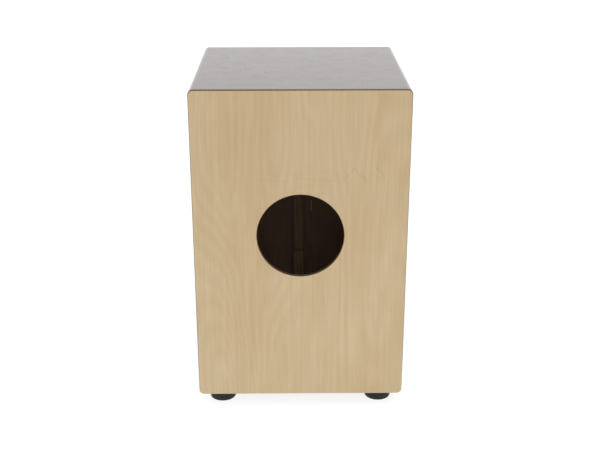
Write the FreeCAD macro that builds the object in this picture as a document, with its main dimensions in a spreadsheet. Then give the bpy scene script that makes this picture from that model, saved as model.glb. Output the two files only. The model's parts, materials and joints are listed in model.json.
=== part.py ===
import FreeCAD, Part
import os
import re
from math import cos, sin, tau

import Sketcher

# A cajon: a wooden box drum that the player sits on.
# The frame has +Z up and its origin on the floor under the middle of the box. The player faces +Y, so the
# thin playing plate is at +Y and the panel with the sound hole at -Y. Left is -X. Lengths are millimetres.
#
# Four thick boards make the open case, glued at butt joints with triangular battens in the corners. The rear
# panel is glued over one end. A frame of rails and stiles stiffens the other end, and the playing plate is
# screwed over it. Two steel strings run down the inside of the plate. Each hangs by its upper ball in the
# top rail, passes over the lip of a steel guide, and ends in a carriage that a socket screw draws down from
# under the box. A post carries the felt pad that damps the strings.

# Driving dimensions. Each one becomes a named cell of the document's spreadsheet.
SIZES = {
    # the case
    "overall_width": 300,
    "overall_depth": 300,
    "body_height": 460,
    "wall": 12,
    "corner_radius": 7,
    "corner_margin": 1,  # least wall left inside a rounded corner
    # the rear panel and its sound hole
    "rear_thickness": 5,
    "rear_edge_round": 1.5,
    "hole_diameter": 122,
    "hole_height": 252,  # centre of the sound hole above the underside of the case
    "hole_edge_round": 0.8,
    # the playing plate and its screws
    "plate_thickness": 3.2,
    "plate_edge_round": 1,
    "plate_screw_diameter": 3.5,
    "plate_screw_length": 20,
    "plate_screw_head": 7.2,
    "side_screw_gap": 24,  # from the top or bottom of the plate to the first side screw
    "side_screw_count": 5,
    "end_screw_gap": 75,  # from the side of the plate to the first top or bottom screw
    "end_screw_count": 3,
    # the frame behind the plate, and the corner battens
    "rail_width": 15,
    "rail_depth": 18,
    "batten_leg": 18,
    # the post and the felt pad
    "post_width": 18,
    "post_depth": 12,
    "post_round": 1.5,
    "post_screw_diameter": 3.5,
    "post_screw_length": 22,
    "post_screw_head": 7,
    "post_screw_dome": 2.4,
    "pad_width": 66,
    "pad_height": 22,
    "pad_level": 300,  # underside of the pad above the underside of the case
    "pad_gap": 0.3,  # between the pad and a string
    # the strings
    "string_diameter": 1,
    "string_gap": 0.3,  # between a string and the plate
    "string_top_spread": 58,  # between the upper balls
    "string_bottom_spread": 34,  # between the lower balls, and between the tension screws
    "ball_diameter": 3.8,
    "ball_setback": 3,  # from a string's run along the plate back to its upper ball
    "ball_room": 0.9,  # behind an upper ball in its pocket
    "string_clearance": 0.8,  # round a string where it passes through wood or brass
    # the guide
    "guide_thickness": 1.5,
    "guide_height": 40,
    "guide_width": 60,
    "guide_base_width": 90,
    "guide_bend": 1,
    "guide_lip_round": 0.6,
    "guide_screw_inset": 7,  # from the ends of the guide's base
    "guide_screw_diameter": 3,
    "guide_screw_length": 12,
    "guide_screw_head": 5.8,
    "guide_screw_dome": 2,
    "bridge_gap": 0.2,  # between the guide's lip and a string
    "bridge_run": 3,  # how far a string stays straight below the lip
    # the carriages and their screws
    "carriage_width": 14,
    "carriage_height": 14,
    "carriage_level": 6,  # above the guide's base
    "carriage_rear_gap": 0.3,
    "carriage_front_gap": 0.6,
    "carriage_chamfer": 0.6,
    "carriage_skin": 0.8,  # wall in front of the ball pocket
    "carriage_roof": 2.5,  # wall above the ball
    "carriage_back": 1.7,  # wall behind the tension screw
    "tension_diameter": 5,
    "tension_length": 50,
    "tension_clearance": 0.25,
    "tension_head": 8.5,
    "tension_head_height": 5,
    "tension_head_round": 0.7,
    "tension_tip": 0.8,
    "tension_socket": 4,
    "tension_socket_depth": 2.5,
    "counterbore_depth": 7,
    "counterbore_clearance": 0.5,
    "washer_diameter": 11,
    "washer_thickness": 1,
    # the feet
    "foot_height": 20,
    "foot_diameter": 41,
    "foot_taper": 1.2,  # how much less the radius is at the floor
    "foot_base_round": 1.8,
    "foot_top_round": 0.8,
    "foot_inset": 33,
    "foot_web": 8,  # rubber above the recess
    "foot_recess_clearance": 1,
    "foot_screw_diameter": 4.2,
    "foot_screw_length": 18,
    "foot_screw_head": 8.6,
    "foot_screw_dome": 3,
    "foot_washer_diameter": 13,
    "foot_washer_thickness": 1.2,
    # fits and small shapes that several pieces share
    "screw_clearance": 0.1,
    "running_clearance": 0.05,
    "screw_tip": 3,
    "drill_point": 1,  # how much deeper a pilot hole is than its screw
    "cross_arm": 3.8,
    "cross_width": 0.9,
    "cross_depth": 1.4,
}

# Planes, levels and distances that several pieces share, as expressions on the cells. A reach is a distance
# behind the inner face of the playing plate.
CORNER = "min(corner_radius; wall - corner_margin)"
PLATE_INNER = "(overall_depth / 2 - plate_thickness)"
CASE_DEPTH = "(overall_depth - rear_thickness - plate_thickness)"
INNER_WIDTH = "(overall_width - 2 * wall)"
INNER_HEIGHT = "(body_height - 2 * wall)"
INNER_FLOOR = "(foot_height + wall)"
INNER_CEILING = "(foot_height + body_height - wall)"
FRAME_REAR = f"({PLATE_INNER} - rail_depth)"
SIDE_STEP = "(body_height - 2 * side_screw_gap) / (side_screw_count - 1)"
END_STEP = "(overall_width - 2 * end_screw_gap) / (end_screw_count - 1)"
PLATE_PILOT = "(plate_screw_diameter + 2 * screw_clearance)"
PLATE_PILOT_DEPTH = "(plate_screw_length - plate_thickness + drill_point)"
POST_PILOT = "(post_screw_diameter + 2 * screw_clearance)"
POST_SCREW_STEP = f"({INNER_HEIGHT} - rail_width)"
GUIDE_PILOT = "(guide_screw_diameter + 2 * screw_clearance)"
FOOT_PILOT = "(foot_screw_diameter + 2 * screw_clearance)"
FOOT_STEP = {"X_Axis": "overall_width - 2 * foot_inset", "Y_Axis": "overall_depth - 2 * foot_inset"}
FOOT_RECESS_DEPTH = "(foot_height - foot_web)"
FOOT_SCREW_LEVEL = f"({FOOT_RECESS_DEPTH} - foot_washer_thickness)"
STRING_REACH = "(string_gap + string_diameter / 2)"
LIP_REACH = f"({STRING_REACH} + string_diameter / 2 + bridge_gap)"
CARRIAGE_REACH = "(rail_depth - guide_thickness - carriage_rear_gap)"
TENSION_REACH = f"({CARRIAGE_REACH} - carriage_back - tension_diameter / 2)"
TENSION_HOLE = "(tension_diameter + 2 * tension_clearance)"
GUIDE_SCREW_SPREAD = "(guide_base_width - 2 * guide_screw_inset)"
BALL_POCKET = "(ball_diameter + 2 * screw_clearance)"
POCKET_REACH = f"(carriage_front_gap + carriage_skin + {BALL_POCKET} / 2)"
STRING_HOLE = "(string_diameter + 2 * string_clearance)"
UPPER_BALL = f"({INNER_CEILING} - rail_width / 2)"
RAIL_TOP = f"({INNER_FLOOR} + rail_width)"
CARRIAGE_UNDER = f"({RAIL_TOP} + guide_thickness + carriage_level)"
LOWER_BALL = f"({CARRIAGE_UNDER} + carriage_height - carriage_roof - running_clearance - ball_diameter / 2)"
TENSION_SEAT = "(foot_height + counterbore_depth - washer_thickness - running_clearance)"

SIDES = {"left": -1, "right": 1}
FACE_UP = ((1, 0, 0), 0)
FACE_DOWN = ((1, 0, 0), 180)
FACE_FRONT = ((1, 0, 0), -90)
FACE_REAR = ((1, 0, 0), 90)
HALF_TURN = ((0, 0, 1), 180)
TOUCH = 1e-3

doc = FreeCAD.newDocument("cajon")
sheet = doc.addObject("Spreadsheet::Sheet", "sizes")
for row, (alias, value) in enumerate(SIZES.items(), 1):
    sheet.set(f"A{row}", alias)
    sheet.set(f"B{row}", str(value))
    sheet.setAlias(f"B{row}", alias)
doc.recompute()


# ---- shapes that several pieces share ----


def bind(target, property_name, expression):
    """Ties a property to an expression on the sheet's cells."""
    named = re.sub(r"[a-z]\w*", lambda word: f"sizes.{word[0]}" if word[0] in SIZES else word[0], expression)
    target.setExpression(property_name, named)


def new_body(name, at, turn=FACE_UP):
    """A body named for its piece. Expressions place it, and turn is its rotation: an axis and degrees."""
    body = doc.addObject("PartDesign::Body", name)
    body.Label = name
    axis, angle = turn
    body.Placement = FreeCAD.Placement(FreeCAD.Vector(), FreeCAD.Rotation(FreeCAD.Vector(*axis), angle))
    for letter, place in zip("xyz", at):
        bind(body, f"Placement.Base.{letter}", place)
    return body


def datum(body, role):
    """One of the body's own planes or axes."""
    return next(feature for feature in body.Origin.OriginFeatures if feature.Role == role)


def new_sketch(body, plane, offset="0"):
    """A sketch on one of the body's planes, moved along the plane's normal."""
    sketch = body.newObject("Sketcher::SketchObject", f"{body.Label}_sketch")
    sketch.AttachmentSupport = [(datum(body, plane), "")]
    sketch.MapMode = "FlatFace"
    bind(sketch, "AttachmentOffset.Base.z", offset)
    return sketch


def pin_down(sketch, geometry, end, place):
    """Ties a point of the sketch to its place, which is two expressions."""
    for kind, distance in zip(("DistanceX", "DistanceY"), place):
        number = sketch.addConstraint(Sketcher.Constraint(kind, -1, 1, geometry, end, 1.0))
        bind(sketch, f"Constraints[{number}]", distance)


def draw_outline(sketch, corners):
    """A closed outline of straight lines. It starts as a regular polygon, and the constraints shape it."""
    count = len(corners)
    first = sketch.GeometryCount
    start = [FreeCAD.Vector(cos(tau * i / count), sin(tau * i / count), 0) for i in range(count)]
    for i in range(count):
        sketch.addGeometry(Part.LineSegment(start[i], start[(i + 1) % count]))
    for i in range(count):
        sketch.addConstraint(Sketcher.Constraint("Coincident", first + i, 2, first + (i + 1) % count, 1))
        pin_down(sketch, first + i, 1, corners[i])


def draw_path(sketch, points):
    """An open path of straight lines."""
    for i in range(len(points) - 1):
        sketch.addGeometry(Part.LineSegment(FreeCAD.Vector(i, 0, 0), FreeCAD.Vector(i + 1, 0, 0)))
        pin_down(sketch, i, 1, points[i])
    for i in range(len(points) - 2):
        sketch.addConstraint(Sketcher.Constraint("Coincident", i, 2, i + 1, 1))
    pin_down(sketch, len(points) - 2, 2, points[-1])


def draw_circle(sketch, centre, diameter):
    circle = sketch.addGeometry(Part.Circle(FreeCAD.Vector(), FreeCAD.Vector(0, 0, 1), 1))
    pin_down(sketch, circle, 3, centre)
    number = sketch.addConstraint(Sketcher.Constraint("Diameter", circle, 2.0))
    bind(sketch, f"Constraints[{number}]", diameter)


def rectangle(left, right, low, high):
    return [(left, low), (right, low), (right, high), (left, high)]


def pad(body, sketch, length, middle=False):
    feature = body.newObject("PartDesign::Pad", f"{body.Label}_pad")
    feature.Profile = sketch
    feature.Midplane = middle
    bind(feature, "Length", length)
    doc.recompute()
    return feature


def block(body, plane, corners, length, offset="0"):
    """A straight-sided solid: its outline, and its length along the plane's normal."""
    sketch = new_sketch(body, plane, offset)
    draw_outline(sketch, corners)
    return pad(body, sketch, length)


def revolve(body, corners):
    """A solid turned about the body's Z axis. The corners are radius and height."""
    sketch = new_sketch(body, "XZ_Plane")
    draw_outline(sketch, corners)
    feature = body.newObject("PartDesign::Revolution", f"{body.Label}_turn")
    feature.Profile = sketch
    feature.ReferenceAxis = (sketch, ["V_Axis"])
    feature.Angle = 360
    doc.recompute()
    return feature


def cut(body, sketch, depth, along=False):
    """A pocket against the plane's normal, or along it. It stops the build if it takes nothing away."""
    before = body.Shape.Volume
    feature = body.newObject("PartDesign::Pocket", f"{body.Label}_cut")
    feature.Profile = sketch
    feature.Reversed = along
    bind(feature, "Length", depth)
    doc.recompute()
    if feature.Shape.Volume > before - TOUCH:
        raise RuntimeError(f"{feature.Name} takes nothing away")
    return feature


def drill(body, plane, centres, diameter, depth, offset="0", along=False):
    """Round holes that start at the plane."""
    sketch = new_sketch(body, plane, offset)
    for centre in centres:
        draw_circle(sketch, centre, diameter)
    return cut(body, sketch, depth, along)


def repeat(body, originals, steps):
    """Repeats features in a row or a grid. Each step is an axis, a distance and a count."""
    grid = body.newObject("PartDesign::MultiTransform", f"{body.Label}_grid")
    grid.Originals = originals
    grid.Transformations = [linear(body, *step) for step in steps]
    body.Tip = grid
    doc.recompute()


def linear(body, axis, distance, count):
    pattern = body.newObject("PartDesign::LinearPattern", f"{body.Label}_row")
    pattern.Direction = (datum(body, axis), [""])
    pattern.Mode = "Spacing"
    bind(pattern, "Offset", distance)
    bind(pattern, "Occurrences", count)
    return pattern


def copy_piece(body, steps):
    """Repeats everything in the body as separate solids, one row after another."""
    for step in steps:
        pattern = linear(body, *step)
        pattern.TransformMode = "Whole shape"
        body.Tip = pattern
        doc.recompute()


def find_edges(feature, wanted):
    """The names of the edges that are wanted."""
    return [f"Edge{i}" for i, edge in enumerate(feature.Shape.Edges, 1) if wanted(edge)]


def runs_along(edge, axis):
    """Whether the edge is straight and parallel to the axis."""
    if edge.Curve.TypeId != "Part::GeomLine":
        return False
    return abs(abs(getattr(edge.Curve.Direction, axis)) - 1) < TOUCH


def lies_at(feature, edge, side):
    """Whether all of the edge is at one side of the feature, such as ZMax."""
    limit = getattr(feature.Shape.BoundBox, side)
    ends = [getattr(edge.BoundBox, f"{side[0]}{end}") for end in ("Min", "Max")]
    return all(abs(end - limit) < TOUCH for end in ends)


def soften(body, feature, names, size, kind="Fillet"):
    """Rounds the named edges, or chamfers them."""
    softened = body.newObject(f"PartDesign::{kind}", f"{body.Label}_{kind.lower()}")
    softened.Base = (feature, names)
    bind(softened, {"Fillet": "Radius", "Chamfer": "Size"}[kind], size)
    doc.recompute()
    return softened


# ---- the case ----


def level_board(name, under, outer_side):
    """The seat or the bottom board. It lies across the side boards and has two rounded long edges."""
    body = new_body(name, ("0", PLATE_INNER, under))
    board = block(
        body, "XZ_Plane", rectangle("-overall_width / 2", "overall_width / 2", "0", "wall"), CASE_DEPTH
    )
    long_edges = find_edges(board, lambda edge: runs_along(edge, "y") and lies_at(board, edge, outer_side))
    soften(body, board, long_edges, CORNER)
    first = [("end_screw_gap - overall_width / 2", "wall / 2")]
    pilot = drill(body, "XZ_Plane", first, PLATE_PILOT, PLATE_PILOT_DEPTH, along=True)
    repeat(body, [pilot], [("X_Axis", END_STEP, "end_screw_count")])
    return body


def bottom_board():
    """The bottom board also has the tension screws' counterbored holes and the feet's pilot holes."""
    body = level_board("bottom_panel", "foot_height", "ZMin")
    axes = tension_axes()
    drill(body, "XY_Plane", axes, TENSION_HOLE, "wall", along=True)
    counterbore = "washer_diameter + 2 * counterbore_clearance"
    drill(body, "XY_Plane", axes, counterbore, "counterbore_depth", along=True)
    first = [("foot_inset - overall_width / 2", f"foot_inset - overall_depth / 2 - {PLATE_INNER}")]
    depth = f"foot_screw_length - (foot_height - {FOOT_SCREW_LEVEL}) + drill_point"
    pilot = drill(body, "XY_Plane", first, FOOT_PILOT, depth, along=True)
    repeat(body, [pilot], [(axis, step, "2") for axis, step in FOOT_STEP.items()])


def tension_axes():
    """Where the two tension screws cross a level plane, from the plate's inner face."""
    return [(f"{sign} * string_bottom_spread / 2", f"-{TENSION_REACH}") for sign in SIDES.values()]


def side_board(side, sign):
    """A side board between the seat and the bottom board."""
    place = (f"{sign} * (overall_width - wall) / 2", PLATE_INNER, INNER_FLOOR)
    body = new_body(f"{side}_side_panel", place)
    block(body, "XZ_Plane", rectangle("-wall / 2", "wall / 2", "0", INNER_HEIGHT), CASE_DEPTH)
    first = [("0", "side_screw_gap - wall")]
    pilot = drill(body, "XZ_Plane", first, PLATE_PILOT, PLATE_PILOT_DEPTH, along=True)
    repeat(body, [pilot], [("Z_Axis", SIDE_STEP, "side_screw_count")])


def rear_panel():
    """The glued rear panel with the round sound hole."""
    body = new_body("rear_panel", ("0", "rear_thickness - overall_depth / 2", "foot_height"))
    sketch = new_sketch(body, "XZ_Plane")
    draw_outline(sketch, rectangle("-overall_width / 2", "overall_width / 2", "0", "body_height"))
    draw_circle(sketch, ("0", "hole_height"), "hole_diameter")
    panel = pad(body, sketch, "rear_thickness")
    panel = soften(body, panel, find_edges(panel, lambda edge: runs_along(edge, "y")), CORNER)
    rim = find_edges(panel, lambda edge: edge.isClosed() and lies_at(panel, edge, "YMin"))
    panel = soften(body, panel, rim, "hole_edge_round")
    outline = find_edges(panel, lambda edge: not edge.isClosed() and lies_at(panel, edge, "YMin"))
    soften(body, panel, outline, "rear_edge_round")


def playing_plate():
    """The thin plate that is struck. Countersunk holes run round its edge."""
    body = new_body("playing_plate", ("0", PLATE_INNER, "foot_height"), HALF_TURN)
    outline = rectangle("-overall_width / 2", "overall_width / 2", "0", "body_height")
    plate = block(body, "XZ_Plane", outline, "plate_thickness")
    plate = soften(body, plate, find_edges(plate, lambda edge: runs_along(edge, "y")), CORNER)
    front = find_edges(plate, lambda edge: lies_at(plate, edge, "YMin"))
    soften(body, plate, front, "plate_edge_round")
    countersunk_holes(
        body, ("wall / 2 - overall_width / 2", "side_screw_gap"),
        [("X_Axis", "overall_width - wall", "2"), ("Z_Axis", SIDE_STEP, "side_screw_count")],
    )
    countersunk_holes(
        body, ("end_screw_gap - overall_width / 2", "wall / 2"),
        [("X_Axis", END_STEP, "end_screw_count"), ("Z_Axis", "body_height - wall", "2")],
    )


def countersunk_holes(body, first, rows):
    sketch = new_sketch(body, "XZ_Plane", "plate_thickness")
    draw_circle(sketch, first, PLATE_PILOT)
    doc.recompute()
    hole = body.newObject("PartDesign::Hole", "playing_plate_hole")
    hole.Profile = sketch
    doc.recompute()
    hole.DepthType = "ThroughAll"
    hole.HoleCutType = "Countersink"
    hole.HoleCutCountersinkAngle = 90
    bind(hole, "Diameter", PLATE_PILOT)
    bind(hole, "HoleCutDiameter", "plate_screw_head + 2 * screw_clearance")
    doc.recompute()
    repeat(body, [hole], rows)


def corner_batten(level, side):
    """A triangular glue batten along one long corner of the case."""
    height, upward = {"bottom": (INNER_FLOOR, 1), "top": (INNER_CEILING, -1)}[level]
    outward = SIDES[side]
    place = (f"{outward} * {INNER_WIDTH} / 2", FRAME_REAR, height)
    body = new_body(f"corner_batten_{level}_{side}", place)
    corners = [("0", "0"), (f"{-outward} * batten_leg", "0"), ("0", f"{upward} * batten_leg")]
    block(body, "XZ_Plane", corners, f"{CASE_DEPTH} - rail_depth")


# ---- the frame behind the plate ----


def rail(name, under):
    body = new_body(name, ("0", PLATE_INNER, under))
    outline = rectangle(f"-{INNER_WIDTH} / 2", f"{INNER_WIDTH} / 2", "0", "rail_width")
    block(body, "XZ_Plane", outline, "rail_depth")
    depth = "post_screw_length - post_depth + drill_point"
    drill(body, "XZ_Plane", [("0", "rail_width / 2")], POST_PILOT, depth, offset="rail_depth")
    return body


def top_rail():
    """The upper rail. Each string's ball sits in a round pocket, and its wire leaves by a slot below."""
    body = rail("front_top_rail", f"{INNER_CEILING} - rail_width")
    middles = [f"{sign} * string_top_spread / 2" for sign in SIDES.values()]
    sketch = new_sketch(body, "XZ_Plane")
    for x in middles:
        slot = rectangle(f"{x} - {STRING_HOLE} / 2", f"{x} + {STRING_HOLE} / 2", "-1", "rail_width / 2")
        draw_outline(sketch, slot)
    depth = f"{STRING_REACH} + ball_setback + ball_diameter / 2 + ball_room"
    cut(body, sketch, depth, along=True)
    drill(body, "XZ_Plane", [(x, "rail_width / 2") for x in middles], BALL_POCKET, depth, along=True)


def bottom_rail():
    """The lower rail. The tension screws pass up through it, and the guide is screwed down on it."""
    body = rail("front_bottom_rail", INNER_FLOOR)
    drill(body, "XY_Plane", tension_axes(), TENSION_HOLE, "rail_width", along=True)
    drill(
        body, "XY_Plane", guide_screw_places(), GUIDE_PILOT,
        "guide_screw_length - guide_thickness + drill_point", offset="rail_width",
    )


def guide_screw_places():
    return [(f"{sign} * {GUIDE_SCREW_SPREAD} / 2", "-rail_depth / 2") for sign in SIDES.values()]


def stile(side, sign):
    """An upright of the frame, between the rails."""
    place = (f"{sign} * ({INNER_WIDTH} - rail_width) / 2", PLATE_INNER, RAIL_TOP)
    body = new_body(f"front_{side}_stile", place)
    outline = rectangle("-rail_width / 2", "rail_width / 2", "0", f"{INNER_HEIGHT} - 2 * rail_width")
    block(body, "XZ_Plane", outline, "rail_depth")


# ---- screws and washers ----


def cross_recess(body, top):
    """The cross-shaped recess of a wood screw's head."""
    sketch = new_sketch(body, "XY_Plane", top)
    arm, half = "cross_arm / 2", "cross_width / 2"
    quarter = [(arm, half), (half, half), (half, arm)]
    corners = []
    for across, up in ((1, 1), (-1, 1), (-1, -1), (1, -1)):
        points = quarter if across == up else quarter[::-1]
        corners += [(f"{across} * {x}", f"{up} * {y}") for x, y in points]
    draw_outline(sketch, corners)
    cut(body, sketch, "cross_depth")


def pan_screw(body, kind):
    """A wood screw about Z with a rounded head above its seat."""
    shank, rim, dome = f"{kind}_diameter / 2", f"{kind}_head / 2", f"{kind}_dome"
    screw = revolve(body, [
        ("0", f"-{kind}_length"),
        (shank, f"screw_tip - {kind}_length"),
        (shank, "0"),
        (rim, "0"),
        (rim, dome),
        ("0", dome),
    ])
    top = find_edges(screw, lambda edge: lies_at(screw, edge, "ZMax") and edge.isClosed())
    soften(body, screw, top, f"0.8 * {dome}")
    cross_recess(body, dome)


def flush_screw(body, kind):
    """A wood screw about Z whose countersunk head ends at the body's origin."""
    shank, rim = f"{kind}_diameter / 2", f"{kind}_head / 2"
    revolve(body, [
        ("0", f"-{kind}_length"),
        (shank, f"screw_tip - {kind}_length"),
        (shank, f"{shank} - {rim}"),
        (rim, "0"),
        ("0", "0"),
    ])
    cross_recess(body, "0")


def washer(body, bore, diameter, thickness):
    sketch = new_sketch(body, "XY_Plane")
    draw_circle(sketch, ("0", "0"), diameter)
    draw_circle(sketch, ("0", "0"), bore)
    pad(body, sketch, thickness)


def plate_screws(name, inset, drop, rows):
    """Flush screws round the plate, from the upper left one. Facing the front, the body's Y points down."""
    place = (f"{inset} - overall_width / 2", "overall_depth / 2", f"foot_height + body_height - {drop}")
    body = new_body(name, place, FACE_FRONT)
    flush_screw(body, "plate_screw")
    copy_piece(body, rows)


# ---- the feet ----


def foot_place(sign_x, sign_y, height):
    x = f"{sign_x} * (overall_width / 2 - foot_inset)"
    y = f"{sign_y} * (overall_depth / 2 - foot_inset)"
    return x, y, height


def foot(end, side):
    """A tapered rubber foot, hollowed from below for its washer and screw."""
    place = foot_place(SIDES[side], {"rear": -1, "front": 1}[end], "0")
    body = new_body(f"foot_{end}_{side}", place)
    recess = "foot_washer_diameter / 2 + foot_recess_clearance"
    rubber = revolve(body, [
        (recess, "0"),
        ("foot_diameter / 2 - foot_taper", "0"),
        ("foot_diameter / 2", "foot_height"),
        (f"{FOOT_PILOT} / 2", "foot_height"),
        (f"{FOOT_PILOT} / 2", FOOT_RECESS_DEPTH),
        (recess, FOOT_RECESS_DEPTH),
    ])
    for level, radius in (("ZMin", "foot_base_round"), ("ZMax", "foot_top_round")):
        rings = find_edges(rubber, lambda edge: edge.isClosed() and lies_at(rubber, edge, level))
        widest = max(rings, key=lambda ring: rubber.Shape.getElement(ring).Length)
        rubber = soften(body, rubber, [widest], radius)


def foot_fasteners():
    """One screw and one washer in each foot. Turned to face down, the body's Y axis points to the rear."""
    steps = [(axis, step, "2") for axis, step in FOOT_STEP.items()]
    screws = new_body("foot_screws", foot_place(-1, 1, FOOT_SCREW_LEVEL), FACE_DOWN)
    pan_screw(screws, "foot_screw")
    copy_piece(screws, steps)
    washers = new_body("foot_washers", foot_place(-1, 1, FOOT_RECESS_DEPTH), FACE_DOWN)
    washer(washers, FOOT_PILOT, "foot_washer_diameter", "foot_washer_thickness")
    copy_piece(washers, steps)


# ---- the post and the felt pad ----


def snare_post():
    """The upright between the rails' rear faces, with its two screws."""
    body = new_body("snare_post", ("0", FRAME_REAR, INNER_FLOOR))
    outline = rectangle("-post_width / 2", "post_width / 2", "0", INNER_HEIGHT)
    post = block(body, "XZ_Plane", outline, "post_depth")
    rear = find_edges(post, lambda edge: runs_along(edge, "z") and lies_at(post, edge, "YMin"))
    soften(body, post, rear, "post_round")
    hole = drill(
        body, "XZ_Plane", [("0", "rail_width / 2")], POST_PILOT, "post_depth", offset="post_depth"
    )
    repeat(body, [hole], [("Z_Axis", POST_SCREW_STEP, "2")])
    place = ("0", f"{FRAME_REAR} - post_depth", f"{INNER_FLOOR} + rail_width / 2")
    screws = new_body("post_screws", place, FACE_REAR)
    pan_screw(screws, "post_screw")
    copy_piece(screws, [("Y_Axis", POST_SCREW_STEP, "2")])


def damper_pad():
    """The felt block glued to the post, just behind both strings."""
    body = new_body("damper_pad", ("0", FRAME_REAR, "foot_height + pad_level"), HALF_TURN)
    reach = f"({STRING_REACH} + string_diameter / 2 + pad_gap)"
    outline = rectangle("-pad_width / 2", "pad_width / 2", "0", "pad_height")
    block(body, "XZ_Plane", outline, f"rail_depth - {reach}")


# ---- the strings and their tension gear ----


def snare_string(side, sign):
    """A string with a ball at each end. The body's Z axis runs up along the string."""
    place = (f"{sign} * string_top_spread / 2", f"{PLATE_INNER} - {STRING_REACH}", UPPER_BALL)
    body = new_body(f"snare_string_{side}", place, ((0, sign, 0), 1))
    drop = f"({UPPER_BALL} - {LOWER_BALL})"
    lean = f"atan((string_top_spread - string_bottom_spread) / 2 / {drop})"
    bind(body, "Placement.Rotation.Angle", lean)
    lip = f"({RAIL_TOP} + guide_height - guide_thickness / 2)"
    ends = {
        "upper": ("-ball_setback", "0"),
        "lower": (f"{STRING_REACH} - {POCKET_REACH}", f"-{drop} / cos({lean})"),
    }
    path = new_sketch(body, "YZ_Plane")
    draw_path(path, [
        ends["upper"],
        ("0", "-(rail_width / 2 + 1)"),
        ("0", f"-({UPPER_BALL} - {lip} + bridge_run) / cos({lean})"),
        ends["lower"],
    ])
    doc.recompute()
    section = body.newObject("Sketcher::SketchObject", "string_section")
    section.AttachmentSupport = [(path, "Edge1")]
    section.MapMode = "NormalToEdge"
    draw_circle(section, ("0", "0"), "string_diameter")
    doc.recompute()
    wire = body.newObject("PartDesign::AdditivePipe", "string_wire")
    wire.Profile = section
    wire.Spine = (path, ["Edge1", "Edge2", "Edge3"])
    wire.Transition = "Right corner"
    doc.recompute()
    for y, z in ends.values():
        ball = body.newObject("PartDesign::AdditiveSphere", "string_ball")
        bind(ball, "Radius", "ball_diameter / 2")
        bind(ball, "Placement.Base.y", y)
        bind(ball, "Placement.Base.z", z)
        doc.recompute()


def edges_along_x(steel, side=None):
    """The names of the straight edges across the guide, or of those at one side of it."""
    return find_edges(
        steel, lambda edge: runs_along(edge, "x") and (side is None or lies_at(steel, edge, side))
    )


def tension_guide():
    """The bent steel guide. The strings cross its upper lip, and its base is screwed to the lower rail."""
    body = new_body("tension_guide", ("0", PLATE_INNER, RAIL_TOP))
    sketch = new_sketch(body, "YZ_Plane")
    rear, front = "-rail_depth", f"-{LIP_REACH}"
    draw_outline(sketch, [
        (rear, "0"),
        (front, "0"),
        (front, "guide_thickness"),
        ("guide_thickness - rail_depth", "guide_thickness"),
        ("guide_thickness - rail_depth", "guide_height - guide_thickness"),
        (front, "guide_height - guide_thickness"),
        (front, "guide_height"),
        (rear, "guide_height"),
    ])
    steel = pad(body, sketch, "guide_width", middle=True)
    outer = set(edges_along_x(steel, "YMin") + edges_along_x(steel, "YMax"))
    inner_bends = [edge for edge in edges_along_x(steel) if edge not in outer]
    steel = soften(body, steel, inner_bends, "guide_bend")
    steel = soften(body, steel, edges_along_x(steel, "YMin"), "guide_bend + guide_thickness")
    middle_height = steel.Shape.BoundBox.Center.z
    front_edges = edges_along_x(steel, "YMax")
    lip = [edge for edge in front_edges if steel.Shape.getElement(edge).BoundBox.ZMin > middle_height]
    soften(body, steel, lip, "min(guide_lip_round; 0.4 * guide_thickness)")
    ears = new_sketch(body, "XY_Plane")
    bend_end = f"{rear} + guide_bend + guide_thickness"
    draw_outline(ears, rectangle("-guide_base_width / 2", "guide_base_width / 2", bend_end, front))
    pad(body, ears, "guide_thickness")
    drill(body, "XY_Plane", tension_axes(), TENSION_HOLE, "guide_thickness", along=True)
    drill(body, "XY_Plane", guide_screw_places(), GUIDE_PILOT, "guide_thickness", along=True)


def guide_screws():
    y = f"{PLATE_INNER} - rail_depth / 2"
    body = new_body("guide_screws", (f"-{GUIDE_SCREW_SPREAD} / 2", y, f"{RAIL_TOP} + guide_thickness"))
    pan_screw(body, "guide_screw")
    copy_piece(body, [("X_Axis", GUIDE_SCREW_SPREAD, "2")])


def string_carriage(side, sign):
    """The block that rides on a tension screw and holds the string's lower ball from above."""
    place = (f"{sign} * string_bottom_spread / 2", PLATE_INNER, CARRIAGE_UNDER)
    body = new_body(f"string_carriage_{side}", place)
    outline = rectangle(
        "-carriage_width / 2", "carriage_width / 2", f"-{CARRIAGE_REACH}", "-carriage_front_gap"
    )
    brass = block(body, "XY_Plane", outline, "carriage_height")
    uprights = find_edges(brass, lambda edge: runs_along(edge, "z"))
    soften(body, brass, uprights, "carriage_chamfer", "Chamfer")
    screw, ball = [("0", f"-{TENSION_REACH}")], [("0", f"-{POCKET_REACH}")]
    bore = "tension_diameter + 2 * running_clearance"
    drill(body, "XY_Plane", screw, bore, "carriage_height", along=True)
    drill(body, "XY_Plane", ball, STRING_HOLE, "carriage_height", along=True)
    drill(body, "XY_Plane", ball, BALL_POCKET, "carriage_height - carriage_roof", along=True)


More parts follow.
